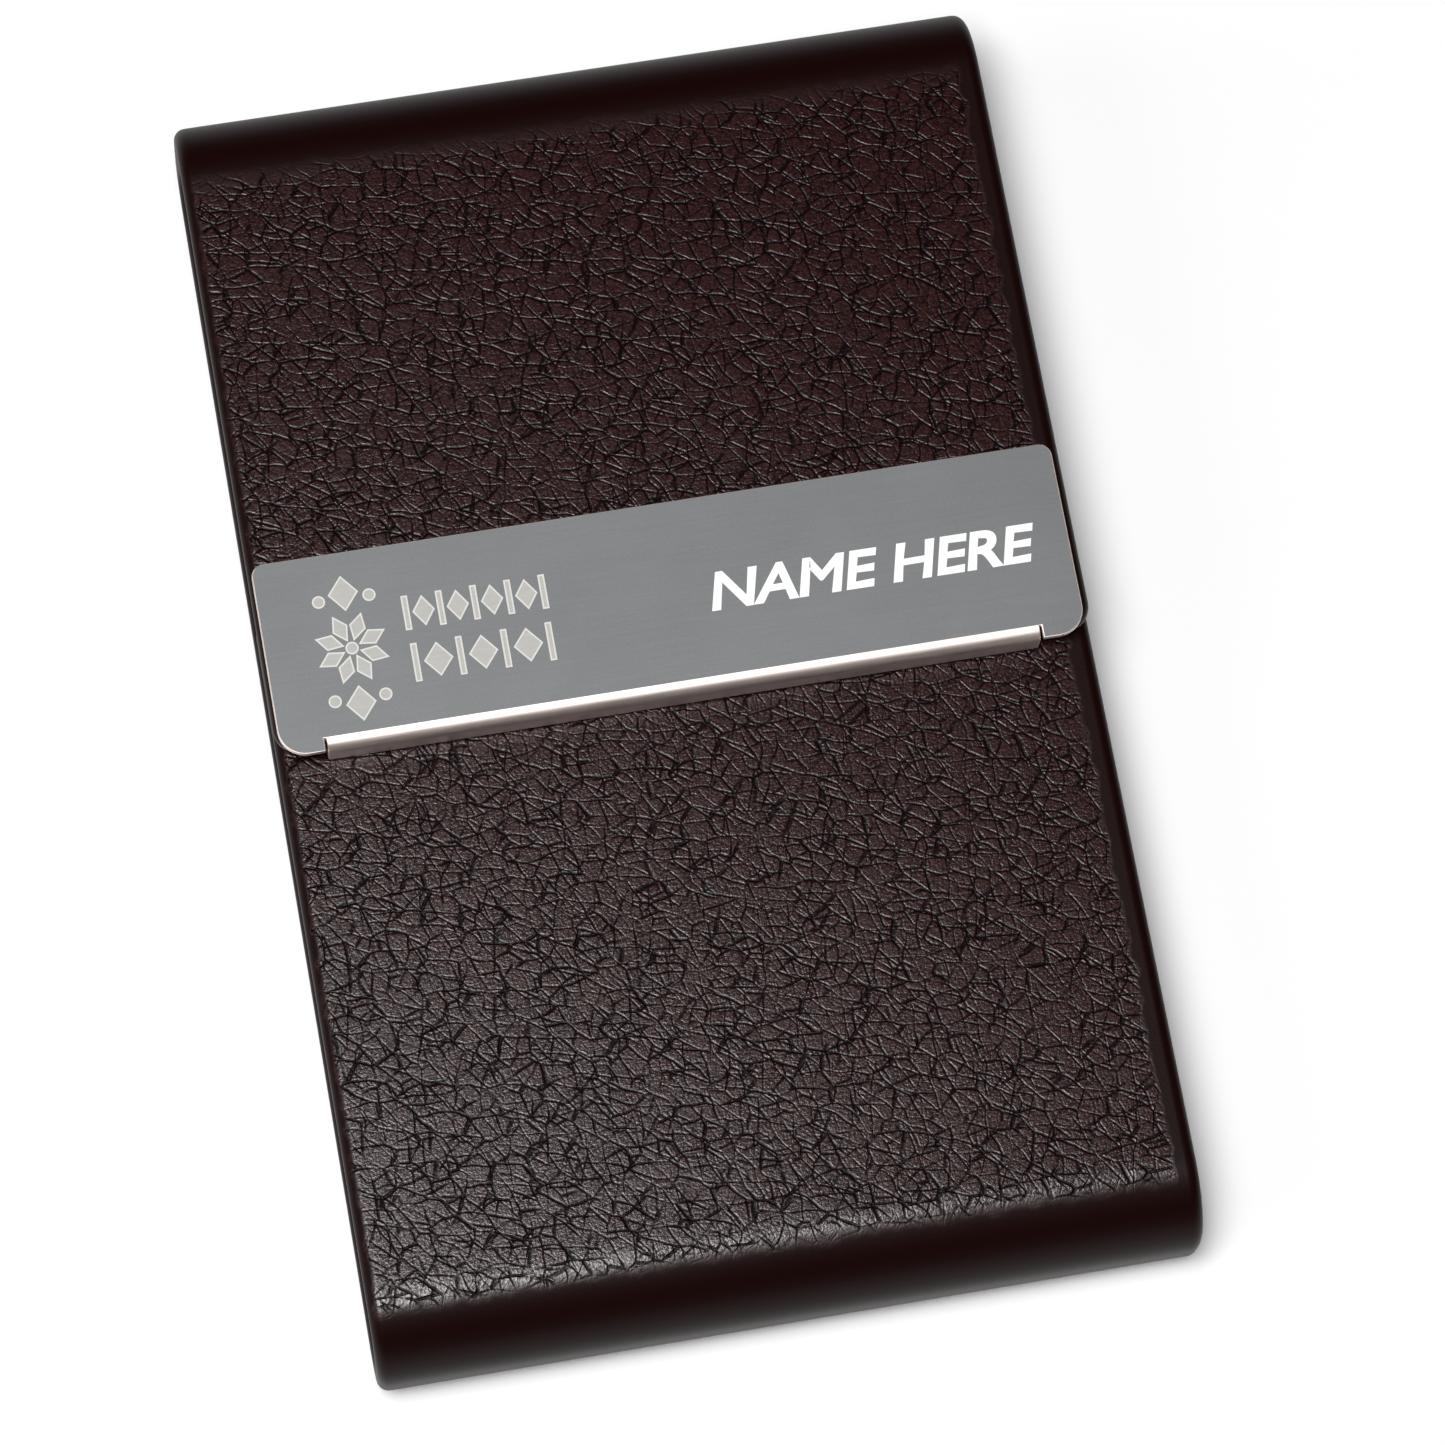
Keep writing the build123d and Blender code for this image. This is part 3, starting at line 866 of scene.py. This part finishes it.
# Painted shade: the colour is lighter or darker where the fibres lean.
colour = add_node(
    tree,
    "ShaderNodeMix",
    {"Factor": painted_lean_shade, "A": hex_colour("#120d0c"), "B": hex_colour("#2e2321")},
    data_type="RGBA",
)
bump = add_node(tree, "ShaderNodeBump", {"Height": fibres, "Distance": 0.12 * MM})
shader = add_node(
    tree,
    "ShaderNodeBsdfPrincipled",
    {
        "Base Color": colour,
        "Roughness": 0.95,
        "Specular IOR Level": 0.15,
        "Sheen Weight": 0.55,
        "Sheen Roughness": 0.35,
        "Sheen Tint": hex_colour("#b9a49c"),
        "Normal": bump,
    },
)
add_node(tree, "ShaderNodeOutputMaterial", {"Surface": shader})
for lining, body, node in (
    (flap_lining, "flap", "flap_lining"),
    (pocket_lining, "case_body", "pocket_lining"),
):
    lining.data.materials.append(velvet)
    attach(lining, body)
    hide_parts(node)


# ---- Velvet pad of the tray ---------------------------------------------------------------
# A die-cut velvet pad is glued to the tray's floor. It has a clearance hole over each of the
# four rivet heads, and its cut edges are rounded over by the pile.
PAD_W = 57.6
PAD_L = 87.6
PAD_Z = 2.5
PAD_T = 0.5
PAD_CORNER_R = 1.5
PAD_HOLE_R = 2.1
PILE_ROUND = 0.16
RIVET_X = 20.0
RIVET_Y = 38.0

bpy.ops.object.select_all(action="DESELECT")
bpy.ops.mesh.primitive_grid_add(
    x_subdivisions=24, y_subdivisions=36, size=1, location=(0, 0, PAD_Z * MM)
)
pad = bpy.context.object
pad.name = "tray_velvet_pad"
pad.scale = (PAD_W * MM, PAD_L * MM, 1)
bpy.ops.object.transform_apply(location=True, rotation=True, scale=True)
bpy.ops.object.mode_set(mode="EDIT")
pick(pad, "VERT", lambda p: abs(p.x) > PAD_W / 2 - NEAR and abs(p.y) > PAD_L / 2 - NEAR)
bpy.ops.mesh.bevel(offset=PAD_CORNER_R * MM, segments=6, affect="VERTICES")
bpy.ops.mesh.select_all(action="SELECT")
bpy.ops.mesh.extrude_region_move(TRANSFORM_OT_translate={"value": (0, 0, PAD_T * MM)})
finish_mesh(pad)

for x in (-RIVET_X, RIVET_X):
    for y in (-RIVET_Y, RIVET_Y):
        bpy.ops.mesh.primitive_cylinder_add(
            vertices=40,
            radius=PAD_HOLE_R * MM,
            depth=4 * PAD_T * MM,
            location=(x * MM, y * MM, (PAD_Z + PAD_T / 2) * MM),
        )
        punch = bpy.context.object
        apply_modifier(pad, "BOOLEAN", object=punch, operation="DIFFERENCE", solver="EXACT")
        bpy.data.objects.remove(punch)
apply_modifier(
    pad, "BEVEL", width=PILE_ROUND * MM, segments=3, limit_method="ANGLE", angle_limit=radians(50)
)
smooth(pad)
check_solid(pad)
pad.data.materials.append(velvet)
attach(pad, "case_body")
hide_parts("tray_pad")


# ---- Tray, rivets, boards and closure -----------------------------------------------------
# The pressed steel tray is enamelled black, and nickelled rivets hold it down. Boards, steel
# keepers, magnets in their cups, foam tape and glue film are closed in between the layers.
def coated(name, low, high, grain_mm, relief_mm, shine, **constants):
    """A finish whose tint, relief and shine all follow one grain of a real size."""
    material, tree, place = new_material(name)
    grain = add_node(
        tree, "ShaderNodeTexNoise", {"Vector": place, "Scale": per_mm(grain_mm), "Detail": 3.0}
    )
    colour = add_node(
        tree,
        "ShaderNodeMix",
        {"Factor": grain, "A": hex_colour(low), "B": hex_colour(high)},
        data_type="RGBA",
    )
    bump = add_node(tree, "ShaderNodeBump", {"Height": grain, "Distance": relief_mm * MM})
    gloss = add_node(
        tree,
        "ShaderNodeMapRange",
        {"Value": grain, "From Min": 0.3, "From Max": 0.7, "To Min": shine[0], "To Max": shine[1]},
    )
    links = {"Base Color": colour, "Roughness": gloss, "Normal": bump}
    for key, value in constants.items():
        links[key.replace("_", " ").title()] = value
    shader = add_node(tree, "ShaderNodeBsdfPrincipled", links)
    add_node(tree, "ShaderNodeOutputMaterial", {"Surface": shader})
    return material


# Stoved enamel has a faint orange peel 1 mm across. Nickel plate is smooth and warm. Binders'
# board is pressed grey fibre. Zinc-plated keepers are dull. Acrylic foam is fine and translucent,
# but it is drawn opaque.
enamel = coated("black_stoved_enamel", "#0b0b0c", "#151516", 1.0, 0.006, (0.30, 0.40), coat_weight=0.1)
rivet_nickel = coated("nickelled_rivet", "#b9b2a4", "#cfc8ba", 0.4, 0.004, (0.2, 0.32), metallic=1.0)
board = coated("binders_board", "#7d766b", "#9a9387", 0.5, 0.03, (0.8, 0.95))
zinc = coated("zinc_plated_steel", "#8f9498", "#b4b8bb", 0.8, 0.003, (0.3, 0.45), metallic=1.0)
magnet_nickel = coated("nickel_plated_magnet", "#aaa69c", "#c6c2b8", 0.5, 0.002, (0.12, 0.22), metallic=1.0)
foam = coated("acrylic_foam_tape", "#c9c8c2", "#e0dfda", 0.2, 0.02, (0.6, 0.8))
film = coated("adhesive_film", "#b8a884", "#cfc3a4", 0.6, 0.004, (0.2, 0.35))
for node, finish in {
    "tray": enamel,
    "tray_rivets": rivet_nickel,
    "case_board": board,
    "flap_board": board,
    "keeper_discs": zinc,
    "magnet_cups": zinc,
    "flap_magnets": magnet_nickel,
    "tray_tape": foam,
    "plate_film": film,
}.items():
    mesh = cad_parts[node].data
    mesh.materials.clear()
    mesh.materials.append(finish)
